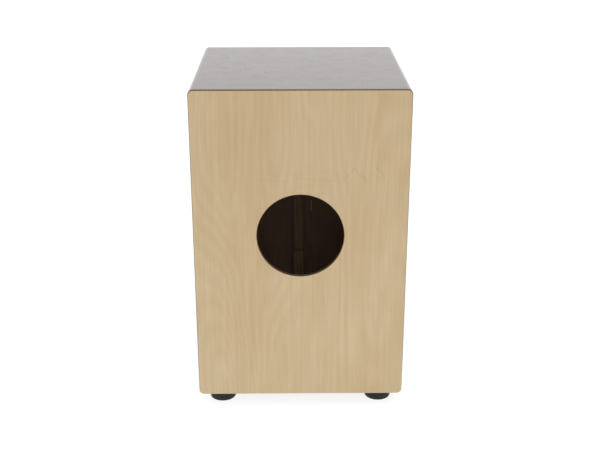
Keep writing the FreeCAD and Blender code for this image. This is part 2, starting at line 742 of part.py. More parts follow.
def tension_screw(side, sign):
    """A socket screw with its head in the underside of the case. The body's Z axis points down."""
    place = (f"{sign} * string_bottom_spread / 2", f"{PLATE_INNER} - {TENSION_REACH}", TENSION_SEAT)
    body = new_body(f"tension_screw_{side}", place, FACE_DOWN)
    shank, rim = "tension_diameter / 2", "tension_head / 2"
    steel = revolve(body, [
        ("0", "-tension_length"),
        (f"{shank} - tension_tip", "-tension_length"),
        (shank, "tension_tip - tension_length"),
        (shank, "0"),
        (rim, "0"),
        (rim, "tension_head_height"),
        ("0", "tension_head_height"),
    ])
    top = find_edges(steel, lambda edge: lies_at(steel, edge, "ZMax") and edge.isClosed())
    soften(body, steel, top, "tension_head_round")
    sketch = new_sketch(body, "XY_Plane", "tension_head_height")
    corners = [
        (f"tension_socket / sqrt(3) * cos({60 * i})", f"tension_socket / sqrt(3) * sin({60 * i})")
        for i in range(6)
    ]
    draw_outline(sketch, corners)
    cut(body, sketch, "tension_socket_depth")


def screw_washers():
    """The washers between the tension screws' heads and their counterbores."""
    place = (
        "-string_bottom_spread / 2", f"{PLATE_INNER} - {TENSION_REACH}",
        "foot_height + counterbore_depth - washer_thickness",
    )
    body = new_body("screw_washers", place)
    washer(body, TENSION_HOLE, "washer_diameter", "washer_thickness")
    copy_piece(body, [("X_Axis", "string_bottom_spread", "2")])


# ---- the whole cajon ----

level_board("top_panel", INNER_CEILING, "ZMax")
bottom_board()
rear_panel()
playing_plate()
top_rail()
bottom_rail()
for side, sign in SIDES.items():
    side_board(side, sign)
    stile(side, sign)
    snare_string(side, sign)
    string_carriage(side, sign)
    tension_screw(side, sign)
    for level in ("bottom", "top"):
        corner_batten(level, side)
    for end in ("rear", "front"):
        foot(end, side)
plate_screws(
    "side_plate_screws", "wall / 2", "side_screw_gap",
    [("X_Axis", "overall_width - wall", "2"), ("Y_Axis", SIDE_STEP, "side_screw_count")],
)
plate_screws(
    "end_plate_screws", "end_screw_gap", "wall / 2",
    [("X_Axis", END_STEP, "end_screw_count"), ("Y_Axis", "body_height - wall", "2")],
)
foot_fasteners()
snare_post()
damper_pad()
tension_guide()
guide_screws()
screw_washers()
doc.recompute()

for thing in doc.Objects:
    if {"Invalid", "Error"} & set(thing.State):
        raise RuntimeError(f"{thing.Label} did not build")
    if hasattr(thing, "Shape") and thing.isDerivedFrom("PartDesign::Body"):
        if thing.Shape.isNull() or not thing.Shape.isValid():
            raise RuntimeError(f"{thing.Label} has no valid shape")

os.makedirs("parts", exist_ok=True)
for body in doc.Objects:
    if body.isDerivedFrom("PartDesign::Body"):
        body.Shape.exportStep(f"parts/{body.Label}.step")
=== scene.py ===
import json
import math

import bmesh
import bpy
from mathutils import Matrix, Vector, noise


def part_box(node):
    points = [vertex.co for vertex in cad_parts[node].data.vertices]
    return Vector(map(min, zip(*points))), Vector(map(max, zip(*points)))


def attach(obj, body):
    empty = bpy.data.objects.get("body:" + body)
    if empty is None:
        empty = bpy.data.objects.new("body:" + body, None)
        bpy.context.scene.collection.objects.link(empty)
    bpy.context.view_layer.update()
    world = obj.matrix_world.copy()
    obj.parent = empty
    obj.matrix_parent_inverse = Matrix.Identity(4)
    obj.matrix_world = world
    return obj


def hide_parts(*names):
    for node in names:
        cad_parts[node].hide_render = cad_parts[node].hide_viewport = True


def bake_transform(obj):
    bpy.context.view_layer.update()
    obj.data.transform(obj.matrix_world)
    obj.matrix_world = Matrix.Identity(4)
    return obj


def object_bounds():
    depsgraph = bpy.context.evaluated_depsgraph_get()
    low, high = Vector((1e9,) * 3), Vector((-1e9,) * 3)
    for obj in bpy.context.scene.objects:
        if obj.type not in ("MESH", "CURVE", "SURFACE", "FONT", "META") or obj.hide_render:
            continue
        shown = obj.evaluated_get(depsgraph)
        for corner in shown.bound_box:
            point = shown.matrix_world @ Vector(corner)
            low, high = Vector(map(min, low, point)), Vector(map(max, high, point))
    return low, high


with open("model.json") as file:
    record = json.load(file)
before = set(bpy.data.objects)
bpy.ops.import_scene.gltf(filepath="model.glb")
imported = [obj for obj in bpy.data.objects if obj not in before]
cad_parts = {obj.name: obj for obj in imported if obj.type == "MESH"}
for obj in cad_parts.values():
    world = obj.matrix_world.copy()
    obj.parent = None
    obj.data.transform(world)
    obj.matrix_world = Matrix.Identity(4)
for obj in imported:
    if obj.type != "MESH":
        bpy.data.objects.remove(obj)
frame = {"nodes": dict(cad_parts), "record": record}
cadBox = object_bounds()
mm = 0.001
caseRound = 7 * mm  # radius of the case's long edges
scene = bpy.context.scene
scene.view_settings.view_transform = "Standard"
soundHole = next(m for m in frame["record"]["mounts"] if m["name"] == "sound_hole")
holeRadius = soundHole["dims"]["r_mm"] * mm
holeLevel = soundHole["pos_m"][2]
print("frame loaded:", len(frame["nodes"]), "nodes")


# camera: a little above the seat, behind the drum, looking down at the sound hole side

camera = {
    "lens": 59.21,
    "sensor": 36,
    "behind": 1.4319,  # from the middle of the drum
    "aside": -0.0136,
    "height": 0.7788,
    "tilt": 20.921,  # degrees down
    "turn": 0.59,  # degrees to the right
    "roll": -0.027,
}


def placeCamera(c):
    view = bpy.data.cameras.new("camera")
    view.lens = c["lens"]
    view.sensor_width = c["sensor"]
    view.clip_start = 0.01
    view.clip_end = 100
    holder = bpy.data.objects.new("camera", view)
    middle = (cadBox[0] + cadBox[1]) / 2
    holder.location = (middle.x + c["aside"], middle.y - c["behind"], cadBox[0].z + c["height"])
    turns = (90 - c["tilt"], -c["roll"], -c["turn"])
    holder.rotation_euler = [math.radians(t) for t in turns]
    scene.collection.objects.link(holder)
    scene.camera = holder


placeCamera(camera)


# shader helpers


def paint(red, green, blue):
    # a colour as mixed on screen, 0 to 255, turned into the linear light that shaders use
    shares = [c / 255 for c in (red, green, blue)]
    return [s / 12.92 if s <= 0.04045 else ((s + 0.055) / 1.055) ** 2.4 for s in shares] + [1]


class Reading:
    # one socket's value: sums written on it add Math nodes
    def __init__(self, finish, socket):
        self.finish = finish
        self.socket = socket

    def __add__(self, other):
        return self.finish.maths("ADD", self, other)

    def __radd__(self, other):
        return self.finish.maths("ADD", other, self)

    def __sub__(self, other):
        return self.finish.maths("SUBTRACT", self, other)

    def __rsub__(self, other):
        return self.finish.maths("SUBTRACT", other, self)

    def __mul__(self, other):
        return self.finish.maths("MULTIPLY", self, other)

    def __rmul__(self, other):
        return self.finish.maths("MULTIPLY", other, self)

    def __truediv__(self, other):
        return self.finish.maths("DIVIDE", self, other)


class Finish:
    # one material and the ways of adding nodes to it
    def __init__(self, name):
        self.material = bpy.data.materials.new(name)
        self.material.use_nodes = True
        self.nodes = self.material.node_tree.nodes
        self.links = self.material.node_tree.links
        self.nodes.clear()
        self.place = self.node("ShaderNodeTexCoord", out="Object")

    def node(self, kind, settings=None, inputs=None, out=0):
        made = self.nodes.new(kind)
        for key, value in (settings or {}).items():
            setattr(made, key, value)
        for key, value in (inputs or {}).items():
            if isinstance(value, Reading):
                self.links.new(value.socket, made.inputs[key])
            else:
                made.inputs[key].default_value = value
        return Reading(self, made.outputs[out]) if len(made.outputs) else None

    def maths(self, operation, *values):
        return self.node("ShaderNodeMath", {"operation": operation}, dict(enumerate(values)))

    def fade(self, value, low, high):
        # 0 up to low, 1 from high on, smooth between
        return self.node(
            "ShaderNodeMapRange",
            {"interpolation_type": "SMOOTHSTEP"},
            {"Value": value, "From Min": low, "From Max": high},
        )

    def mixed(self, mask, first, second):
        return self.node(
            "ShaderNodeMix", {"data_type": "RGBA"}, {0: mask, 6: first, 7: second}, out=2
        )

    def axes(self, vector):
        split = self.nodes.new("ShaderNodeSeparateXYZ")
        self.links.new(vector.socket, split.inputs[0])
        return [Reading(self, output) for output in split.outputs]

    def stretched(self, factors):
        return self.node(
            "ShaderNodeVectorMath", {"operation": "MULTIPLY"}, {0: self.place, 1: factors}
        )

    def speckle(self, factors, detail=2.0, roughness=0.5, shift=0.0):
        # noise with that many changes a metre along X, Y and Z
        moved = self.node(
            "ShaderNodeVectorMath",
            {"operation": "ADD"},
            {0: self.stretched(factors), 1: (shift, shift * 0.7, shift * 1.3)},
        )
        return self.node(
            "ShaderNodeTexNoise",
            {},
            {"Vector": moved, "Scale": 1.0, "Detail": detail, "Roughness": roughness},
        )

    def surface(self, colour, roughness, height, relief, **fixed):
        # relief is the bump's depth in metres
        bump = self.node(
            "ShaderNodeBump", {}, {"Strength": 1.0, "Distance": relief, "Height": height}
        )
        inputs = {"Base Color": colour, "Roughness": roughness, "Normal": bump}
        inputs.update({key.replace("_", " "): value for key, value in fixed.items()})
        shader = self.node("ShaderNodeBsdfPrincipled", {}, inputs)
        self.node("ShaderNodeOutputMaterial", {}, {"Surface": shader})
        return self.material


def along(grain, lengthwise, across):
    # how often a pattern changes on each axis, when the grain runs along X, Y or Z
    return tuple(lengthwise if axis == grain else across for axis in "XYZ")


def timber(finish, grain, wood):
    # the parts that any wood finish is mixed from, each about 0 to 1
    shift = wood["shift"]
    wander = finish.speckle(along(grain, wood["arch"][0], wood["arch"][1]), 1.5, 0.4, shift)
    rings = 0.5 + 0.5 * finish.maths("SINE", wander * (wood["rings"] * 2 * math.pi))
    fibre = finish.speckle(along(grain, wood["fibre"][0], wood["fibre"][1]), 3.0, 0.6, shift + 3)
    streak = finish.speckle(along(grain, wood["streak"][0], wood["streak"][1]), 2.0, 0.5, shift + 5)
    blotch = finish.speckle(along(grain, wood["blotch"][0], wood["blotch"][1]), 3.0, 0.5, shift + 9)
    dash = finish.speckle(along(grain, wood["pore"][0], wood["pore"][1]), 1.0, 0.5, shift + 13)
    return {
        "rings": rings,
        "fibre": finish.fade(fibre, 0.3, 0.7),
        "streak": finish.fade(streak, 0.34, 0.66),
        "blotch": finish.fade(blotch, 0.32, 0.68),
        "pores": finish.fade(dash, 0.6, 0.7),
    }


def insideOutline(finish, radius):
    # how far a point is inside the drum's outline as seen from behind, in metres
    x, _, z = finish.axes(finish.place)
    halfWide = (cadBox[1].x - cadBox[0].x) / 2
    low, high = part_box("rear_panel")[0].z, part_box("rear_panel")[1].z
    overX = finish.maths("ABSOLUTE", x) - (halfWide - radius)
    overZ = finish.maths("ABSOLUTE", z - (low + high) / 2) - ((high - low) / 2 - radius)
    beyondX = finish.maths("MAXIMUM", overX, 0.0)
    beyondZ = finish.maths("MAXIMUM", overZ, 0.0)
    corner = finish.maths("SQRT", beyondX * beyondX + beyondZ * beyondZ)
    flat = finish.maths("MINIMUM", finish.maths("MAXIMUM", overX, overZ), 0.0)
    return radius - corner - flat


def dress(names, material):
    for name in names:
        for slot in frame["nodes"][name].material_slots:
            slot.material = material


# the rear panel: clear satin varnish on pale birch, its rim caught by the body's brown lacquer

rearVeneer = {
    "pale": paint(200, 179, 142),
    "warm": paint(194, 170, 130),
    "deep": paint(160, 130, 90),
    "dash": paint(150, 120, 82),
    "lacquer": paint(78, 60, 44),
    "wall": paint(104, 82, 58),
    "brushed": paint(60, 45, 33),
    "stain": paint(158, 128, 104),
    "grime": paint(126, 100, 80),
    "shift": 4.0,
    "arch": (1.5, 8),
    "rings": 30,
    "fibre": (14, 620),
    "streak": (5, 240),
    "blotch": (7, 17),
    "pore": (260, 2600),
    "rim": 0.85 * mm,  # width of the brown line at the top edge
    "sides": 0.55,  # share of that width down the sides
    "upward": {"from": 0.06, "to": 0.46, "share": 0.2},  # painted shade: the sheet is made darker towards the seat
    "curl": {"level": 0.352, "spread": 0.028, "reach": 0.075, "step": (30, 210)},
    "peaks": {"from": 0.058, "to": 0.122, "level": 0.352, "rise": 0.02, "line": 1.6 * mm},
}


def finishRearVeneer(wood):
    finish = Finish("rearVeneer")
    parts = timber(finish, "Z", wood)
    x, y, z = finish.axes(finish.place)
    colour = finish.mixed(parts["blotch"], wood["pale"], wood["warm"])
    colour = finish.mixed(parts["rings"] * 0.11 + parts["streak"] * 0.11, colour, wood["deep"])
    colour = finish.mixed(parts["fibre"] * 0.14, colour, wood["deep"])
    colour = finish.mixed(parts["pores"] * 0.2, colour, wood["dash"])

    # painted shade: the veneer is mixed darker towards the seat, standing in for the weaker bounce light from
    # the floor up there
    upward = finish.fade(z, wood["upward"]["from"], wood["upward"]["to"])
    colour = finish.mixed(upward * wood["upward"]["share"], colour, wood["deep"])

    # curly ripples above the hole
    curl = wood["curl"]
    ripple = finish.speckle(along("Z", curl["step"][1], curl["step"][0]), 1.0, 0.4, 21)
    near = finish.fade(finish.maths("ABSOLUTE", z - curl["level"]), 0.0, curl["spread"])
    beside = finish.fade(finish.maths("ABSOLUTE", x), curl["reach"] * 0.5, curl["reach"])
    ripples = finish.fade(ripple, 0.42, 0.62) * (1 - near) * (1 - beside)
    colour = finish.mixed(ripples * 0.1, colour, wood["deep"])

    # two small peaks in the figure at the right
    peaks = wood["peaks"]
    wobble = finish.speckle((60, 60, 60), 2.0, 0.5, 31) * 0.012 - 0.006
    half = (peaks["to"] - peaks["from"]) / 4
    climb = finish.maths("PINGPONG", x - peaks["from"] + wobble, half) / half * peaks["rise"]
    offLine = finish.maths("ABSOLUTE", z - peaks["level"] - climb + wobble)
    line = 1 - finish.fade(offLine, 0.0, peaks["line"] * 2)
    within = finish.fade(x, peaks["from"], peaks["from"] + 0.008)
    within = within * (1 - finish.fade(x, peaks["to"] - 0.006, peaks["to"]))
    colour = finish.mixed(line * within * parts["streak"] * 0.3, colour, wood["deep"])

    # brown lacquer on the panel's edge: widest at the top, narrower down the sides, none at the bottom
    low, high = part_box("rear_panel")[0].z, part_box("rear_panel")[1].z
    inside = insideOutline(finish, caseRound)
    climbing = wood["sides"] + (1 - wood["sides"]) * finish.fade(z, high - 9 * mm, high - 2 * mm)
    climbing = climbing * finish.fade(z, low + 4 * mm, low + 60 * mm)
    sanded = finish.speckle((300, 300, 300), 3.0, 0.6, 41) * 0.5 * mm
    rim = 1 - finish.fade(inside - sanded - climbing * wood["rim"], -0.2 * mm, 0.35 * mm)
    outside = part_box("rear_panel")[0].y
    back = finish.fade(y, outside + 1.2 * mm, outside + 1.9 * mm)
    outer = 1 - finish.fade(inside, 0.4 * mm, 0.7 * mm)
    rim = finish.maths("MAXIMUM", rim, outer * back)
    colour = finish.mixed(rim, colour, wood["lacquer"])

    # the hole's wall, stained by the brush that reached round from inside
    fromCentre = finish.maths("SQRT", x * x + (z - holeLevel) * (z - holeLevel))
    wall = 1 - finish.fade(fromCentre - sanded, holeRadius - 0.1 * mm, holeRadius + 0.75 * mm)
    plies = 0.5 + 0.5 * finish.maths("SINE", y * (2 * math.pi / (1.7 * mm)) + 1.2)
    wallColour = finish.mixed(plies * 0.5, wood["wall"], wood["brushed"])
    colour = finish.mixed(wall, colour, wallColour)

    # brown stain inside the box
    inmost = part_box("rear_panel")[1].y
    inner = finish.fade(y, inmost - 0.6 * mm, inmost - 0.2 * mm)
    stained = finish.mixed(parts["fibre"] * 0.5 + parts["rings"] * 0.2, wood["stain"], wood["grime"])
    colour = finish.mixed(inner, colour, stained)

    bare = finish.maths("MAXIMUM", inner, wall)
    roughness = 0.42 + parts["fibre"] * 0.06 + parts["blotch"] * 0.05 + bare * 0.2
    height = parts["fibre"] * 0.3 + (1 - parts["pores"]) * 0.7
    return finish.surface(
        colour, roughness, height, 0.03 * mm,
        Coat_Weight=(1 - bare) * 0.25, Coat_Roughness=0.22, Specular_IOR_Level=0.4,
    )


dress(["rear_panel"], finishRearVeneer(rearVeneer))


# the case: dark brown glossy lacquer outside, thin brown stain inside

caseLacquer = {
    "lacquer": paint(66, 49, 38),
    "worn": paint(92, 68, 50),
    "ring": paint(46, 33, 26),
    "stain": paint(152, 122, 100),
    "raw": paint(172, 142, 118),
    "late": paint(122, 96, 76),
    "arch": (1.1, 6),
    "rings": 22,
    "fibre": (16, 520),
    "streak": (4, 150),
    "blotch": (5, 11),
    "pore": (200, 2200),
}


def finishCase(name, grain, shift, wood):
    finish = Finish(name)
    parts = timber(finish, grain, {**wood, "shift": shift})
    inside = insideOutline(finish, caseRound)
    outside = 1 - finish.fade(inside, 0.2 * mm, 0.6 * mm)
    patchy = finish.speckle((40, 40, 40), 4.0, 0.6, shift + 17)
    _, y, _ = finish.axes(finish.place)
    endwards = finish.maths("ABSOLUTE", y) - (cadBox[1].y - 6.5 * mm)
    rubbed = finish.fade(endwards + patchy * 5 * mm, 2.5 * mm, 6 * mm)

    coloured = finish.mixed(parts["rings"] * 0.4, wood["lacquer"], wood["ring"])
    coloured = finish.mixed(parts["streak"] * 0.3 + parts["blotch"] * 0.2, coloured, wood["worn"])
    coloured = finish.mixed(rubbed * 0.5, coloured, wood["worn"])
    plain = finish.mixed(parts["fibre"] * 0.5 + parts["blotch"] * 0.3, wood["stain"], wood["raw"])
    plain = finish.mixed(parts["rings"] * 0.35, plain, wood["late"])
    colour = finish.mixed(outside, plain, coloured)

    smears = finish.fade(patchy, 0.4, 0.7)
    glossy = 0.24 + smears * 0.05 + rubbed * 0.08
    matt = 0.6 + parts["fibre"] * 0.12
    roughness = matt + (glossy - matt) * outside
    height = parts["fibre"] * 0.4 + (1 - parts["pores"]) * 0.6
    return finish.surface(
        colour, roughness, height * (1 - outside * 0.92), 0.05 * mm,
        Coat_Weight=outside * 0.75, Coat_Roughness=0.12,
    )


dress(["top_panel"], finishCase("lacquerSeat", "X", 2.0, caseLacquer))
dress(["bottom_panel"], finishCase("lacquerBottom", "X", 7.0, caseLacquer))
dress(["left_side_panel"], finishCase("lacquerLeft", "Z", 11.0, caseLacquer))
dress(["right_side_panel"], finishCase("lacquerRight", "Z", 16.0, caseLacquer))


# the playing plate: warmer flamed veneer outside, stained inside, its three plies at the edge

plateVeneer = {
    "pale": paint(205, 172, 122),
    "warm": paint(186, 144, 92),
    "deep": paint(143, 98, 56),
    "core": paint(150, 118, 82),
    "stain": paint(150, 120, 98),
    "ink": paint(120, 94, 76),
    "arch": (1.7, 8),
    "rings": 34,
    "fibre": (18, 560),
    "streak": (5, 160),
    "blotch": (6, 12),
    "pore": (220, 2300),
    "shift": 52.0,
    "flame": (9, 55),
}


def finishPlate(wood):
    finish = Finish("plateVeneer")
    parts = timber(finish, "Z", wood)
    _, y, _ = finish.axes(finish.place)
    low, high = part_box("playing_plate")[0].y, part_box("playing_plate")[1].y
    flame = finish.speckle((wood["flame"][0], 9, wood["flame"][1]), 2.0, 0.5, 61)
    colour = finish.mixed(parts["blotch"], wood["pale"], wood["warm"])
    colour = finish.mixed(parts["rings"] * 0.42 + parts["streak"] * 0.16, colour, wood["deep"])
    colour = finish.mixed(finish.fade(flame, 0.4, 0.65) * 0.2, colour, wood["pale"])
    colour = finish.mixed(parts["fibre"] * 0.16 + parts["pores"] * 0.3, colour, wood["deep"])
    depth = (y - low) / (high - low)
    core = finish.fade(depth, 0.22, 0.27) * (1 - finish.fade(depth, 0.7, 0.75))
    rim = 1 - finish.fade(insideOutline(finish, caseRound), 0.05 * mm, 0.2 * mm)
    colour = finish.mixed(core * rim, colour, wood["core"])
    inner = 1 - finish.fade(depth, 0.02, 0.06)
    stained = finish.mixed(parts["fibre"] * 0.3 + parts["rings"] * 0.3, wood["stain"], wood["ink"])
    colour = finish.mixed(inner, colour, stained)
    roughness = 0.34 + parts["fibre"] * 0.05 + parts["blotch"] * 0.04 + inner * 0.3
    height = parts["fibre"] * 0.3 + (1 - parts["pores"]) * 0.7
    return finish.surface(
        colour, roughness, height, 0.03 * mm,
        Coat_Weight=(1 - inner) * 0.4, Coat_Roughness=0.18,
    )


dress(["playing_plate"], finishPlate(plateVeneer))


# rails, stiles, battens and the post: stained softwood

stainedPine = {
    "early": paint(150, 120, 96),
    "late": paint(114, 88, 68),
    "raised": paint(170, 140, 114),
    "arch": (2, 26),
    "rings": 15,
    "fibre": (30, 700),
    "streak": (7, 240),
    "blotch": (9, 30),
    "pore": (120, 1700),
}
postPine = {
    "early": paint(156, 127, 95),
    "late": paint(118, 91, 65),
    "raised": paint(174, 145, 113),
    "band": {"level": 0.144, "spread": 4.5 * mm},  # a darker band across the post
}


def finishPine(name, grain, shift, wood, band=None):
    finish = Finish(name)
    parts = timber(finish, grain, {**wood, "shift": shift})
    colour = finish.mixed(finish.fade(parts["rings"], 0.2, 0.95), wood["early"], wood["late"])
    colour = finish.mixed(parts["streak"] * 0.35, colour, wood["late"])
    colour = finish.mixed(parts["fibre"] * 0.3 + parts["blotch"] * 0.15, colour, wood["raised"])
    colour = finish.mixed(parts["pores"] * 0.4, colour, wood["late"])
    if band:
        _, _, z = finish.axes(finish.place)
        off = finish.maths("ABSOLUTE", z - band["level"] + parts["blotch"] * 2 * mm)
        colour = finish.mixed((1 - finish.fade(off, 0.0, band["spread"])) * 0.75, colour, wood["late"])
    roughness = 0.62 + parts["fibre"] * 0.12 - parts["rings"] * 0.06
    height = parts["fibre"] * 0.35 + parts["rings"] * 0.25 + (1 - parts["pores"]) * 0.4
    return finish.surface(colour, roughness, height, 0.07 * mm, Specular_IOR_Level=0.35)


dress(["front_top_rail", "front_bottom_rail"], finishPine("railPine", "X", 70.0, stainedPine))
dress(["front_left_stile", "front_right_stile"], finishPine("stilePine", "Z", 75.0, stainedPine))
battens = [f"corner_batten_{level}_{side}" for level in ("bottom", "top") for side in ("left", "right")]
dress(battens, finishPine("battenPine", "Y", 80.0, stainedPine))
dress(["snare_post"], finishPine("postPine", "Z", 85.0, {**stainedPine, **postPine}, postPine["band"]))
print("wood finished")


# metals

metals = {
    "blackScrew": {
        "base": paint(30, 30, 31), "patch": paint(46, 45, 44), "metallic": 0.55,
        "rough": (0.36, 0.16), "lines": (900, 900, 900), "relief": 0.012 * mm,
    },
    "blackSteel": {
        "base": paint(34, 34, 36), "patch": paint(54, 52, 50), "metallic": 0.7,
        "rough": (0.32, 0.18), "lines": (1200, 1200, 400), "relief": 0.012 * mm,
    },
    "zincSteel": {
        "base": paint(196, 198, 198), "patch": paint(168, 166, 156), "metallic": 1.0,
        "rough": (0.26, 0.2), "lines": (700, 700, 700), "relief": 0.015 * mm,
    },
    "bentSteel": {
        "base": paint(188, 188, 186), "patch": paint(150, 147, 140), "metallic": 1.0,
        "rough": (0.3, 0.18), "lines": (40, 1600, 1600), "relief": 0.02 * mm,
    },
    "brass": {
        "base": paint(206, 172, 104), "patch": paint(160, 122, 66), "metallic": 1.0,
        "rough": (0.26, 0.2), "lines": (60, 1500, 1500), "relief": 0.02 * mm,
    },
}


def finishMetal(name, metal, shift):
    # plating or machining lines, with duller patches where it has been handled
    finish = Finish(name)
    tarnish = finish.fade(finish.speckle((160, 160, 160), 4.0, 0.65, shift), 0.42, 0.68)
    lines = finish.speckle(metal["lines"], 3.0, 0.6, shift + 3)
    grains = finish.fade(finish.speckle((2600, 2600, 2600), 1.0, 0.5, shift + 7), 0.55, 0.7)
    colour = finish.mixed(tarnish * 0.7 + grains * 0.15, metal["base"], metal["patch"])
    colour = finish.mixed(finish.fade(lines, 0.35, 0.7) * 0.2, colour, metal["patch"])
    least, spread = metal["rough"]
    roughness = least + tarnish * spread + finish.fade(lines, 0.3, 0.7) * spread * 0.5
    return finish.surface(
        colour, roughness, lines + grains * 0.3, metal["relief"], Metallic=metal["metallic"]
    )


# the strings' winding: dull with age, with a painted highlight over a short length of the right one

windingLook = {
    "dull": paint(150, 132, 112),
    "dark": paint(122, 104, 86),
    "bright": paint(250, 248, 242),
    "paintedGlint": (0.201, 0.221),  # heights that the painted highlight runs between
    "blur": 2 * mm,
}


def finishWinding(look):
    finish = Finish("stringSteel")
    tarnish = finish.fade(finish.speckle((260, 260, 260), 4.0, 0.65, 44), 0.4, 0.66)
    grain = finish.speckle((2500, 2500, 2500), 3.0, 0.6, 47)
    x, _, z = finish.axes(finish.place)
    # painted highlight: a short bright, less metallic and smoother length on the right string only
    low, high = look["paintedGlint"]
    blur = look["blur"]
    below = 1 - finish.fade(z, high - blur, high + blur)
    paintedGlint = finish.fade(z, low - blur, low + blur) * below
    paintedGlint = paintedGlint * finish.fade(x, 0.0, blur)
    colour = finish.mixed(tarnish * 0.8, look["dull"], look["dark"])
    colour = finish.mixed(paintedGlint * (0.85 + grain * 0.15), colour, look["bright"])
    return finish.surface(
        colour, 0.38 + tarnish * 0.15 - paintedGlint * 0.05, grain, 0.008 * mm, Metallic=0.5 - paintedGlint * 0.45
    )


coated = {name: finishMetal(name, metal, 3.0 * i) for i, (name, metal) in enumerate(metals.items())}
coated["stringSteel"] = finishWinding(windingLook)
dress(["side_plate_screws", "end_plate_screws"], coated["blackScrew"])
zincPlated = ["foot_washers", "foot_screws", "post_screws", "guide_screws", "screw_washers"]
dress(zincPlated, coated["zincSteel"])
dress(["tension_guide"], coated["bentSteel"])
dress(["string_carriage_left", "string_carriage_right"], coated["brass"])
print("metal finished")


# rubber, felt and glue

softFinishes = {
    "rubber": {
        "base": paint(17, 18, 17), "bloom": paint(40, 41, 39), "rough": (0.5, 0.2),
        "patch": 90, "grain": 2400, "relief": 0.04 * mm, "spec": 0.35,
    },
    "felt": {
        "base": paint(50, 49, 48), "bloom": paint(88, 85, 80), "rough": (0.9, 0.08),
        "patch": 120, "grain": 1300, "relief": 0.25 * mm, "spec": 0.1,
    },
    "glue": {
        "base": paint(112, 84, 48), "bloom": paint(70, 50, 30), "rough": (0.3, 0.2),
        "patch": 200, "grain": 900, "relief": 0.05 * mm, "spec": 0.5,
    },
}


def finishSoft(name, look, shift):
    finish = Finish(name)
    patch = finish.speckle((look["patch"],) * 3, 4.0, 0.6, shift)
    grain = finish.speckle((look["grain"],) * 3, 3.0, 0.7, shift + 3)
    bloom = finish.fade(patch, 0.42, 0.72)
    flecks = finish.fade(grain, 0.5, 0.75)
    colour = finish.mixed(bloom * 0.45 + flecks * 0.4, look["base"], look["bloom"])
    least, spread = look["rough"]
    roughness = least + bloom * spread + flecks * 0.04
    return finish.surface(
        colour, roughness, grain + patch * 0.3, look["relief"], Specular_IOR_Level=look["spec"]
    )


soft = {name: finishSoft(name, look, 5.0 + 4 * i) for i, (name, look) in enumerate(softFinishes.items())}


# mesh helpers


def skin(rings, ends="centre"):
    # a closed skin over rings that all have the same number of points
    mesh = bmesh.new()
    rows = [[mesh.verts.new(point) for point in ring] for ring in rings]
    count = len(rows[0])
    pairs = list(zip(rows, rows[1:]))
    if ends == "joined":
        pairs.append((rows[-1], rows[0]))
    for lower, upper in pairs:
        for i in range(count):
            j = (i + 1) % count
            mesh.faces.new((lower[i], lower[j], upper[j], upper[i]))
    if ends == "centre":
        for row in (rows[0], rows[-1]):
            tip = mesh.verts.new(sum((v.co for v in row), Vector()) / count)
            for i in range(count):
                mesh.faces.new((row[i], row[(i + 1) % count], tip))
    bmesh.ops.recalc_face_normals(mesh, faces=mesh.faces)
    return mesh


def circle(centre, radius, count, across=Vector((1, 0, 0)), up=Vector((0, 1, 0))):
    turns = [2 * math.pi * i / count for i in range(count)]
    return [centre + across * (radius * math.cos(t)) + up * (radius * math.sin(t)) for t in turns]


def turned(profile, centre, count):
    # a lathe shape about a vertical axis, from a closed profile of (radius, height)
    rings = [circle(Vector((centre[0], centre[1], centre[2] + z)), r, count) for r, z in profile]
    return skin(rings, "joined")


def joined(meshes):
    # several closed shapes in one mesh, each with the number of its finish
    whole = bmesh.new()
    for mesh, number in meshes:
        for face in mesh.faces:
            face.material_index = number
        part = bpy.data.meshes.new("part")
        mesh.to_mesh(part)
        mesh.free()
        whole.from_mesh(part)
        bpy.data.meshes.remove(part)
    return whole


def piece(name, mesh, materials, body=None, crease=40):
    data = bpy.data.meshes.new(name)
    mesh.to_mesh(data)
    mesh.free()
    for material in materials:
        data.materials.append(material)
    data.shade_smooth()
    data.set_sharp_from_angle(angle=math.radians(crease))
    made = bpy.data.objects.new(name, data)
    scene.collection.objects.link(made)
    if body:
        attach(made, body)
    return made


# the feet: turned rubber with ring grooves underneath and a mould line, in place of the plain ones

foot = {
    "top": 20 * mm,
    "radius": 20.5 * mm,
    "taper": 1.2 * mm,
    "edge": 1.8 * mm,
    "topEdge": 0.8 * mm,
    "seam": 0.55,  # share of the height at which the mould line runs
    "lip": 0.5 * mm,
    "recess": 7.5 * mm,
    "web": 12 * mm,
    "bore": 2.2 * mm,
    "tread": [9.6, 11.4, 13.2],  # middles of the ring grooves, mm from the axis
    "groove": 0.45 * mm,
    "grooveDepth": 0.6 * mm,
    "count": 96,
}


def footProfile(f):
    radius, top = f["radius"], f["top"]
    slope = f["taper"] / top
    outer = [(radius - f["topEdge"], top), (radius - 0.3 * mm, top - 0.22 * mm), (radius, top - f["topEdge"])]
    seam = top * f["seam"]
    for rise, out in ((0.5, 0), (0.2, -0.12), (-0.2, -0.12), (-0.5, 0)):
        z = seam + rise * mm
        outer.append((radius - slope * (top - z) + out * mm, z))
    base, edge = radius - f["taper"], f["edge"]
    for step in range(7):
        turn = math.pi / 2 * step / 6
        outer.append((base - edge + edge * math.cos(turn), edge - edge * math.sin(turn)))
    under = []
    for middle in reversed(f["tread"]):
        for aside, up in ((1, 0), (0.6, 1), (-0.6, 1), (-1, 0)):
            under.append((middle * mm + aside * f["groove"], up * f["grooveDepth"]))
    lip = f["lip"]
    inner = [(f["recess"] + lip, 0), (f["recess"], lip), (f["recess"], f["web"])]
    inner += [(f["bore"], f["web"]), (f["bore"], top)]
    return outer + under + inner


def makeFeet(f):
    for end in ("rear", "front"):
        for side in ("left", "right"):
            name = f"foot_{end}_{side}"
            low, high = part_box(name)
            centre = (low + high) / 2
            mesh = turned(footProfile(f), (centre.x, centre.y, low.z), f["count"])
            made = piece(f"tread_{end}_{side}", mesh, [soft["rubber"]], "box", 35)
            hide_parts(name)


makeFeet(foot)
print("feet made")


# the strings: wire wound round a core, twisted back on itself beside a grooved brass ball

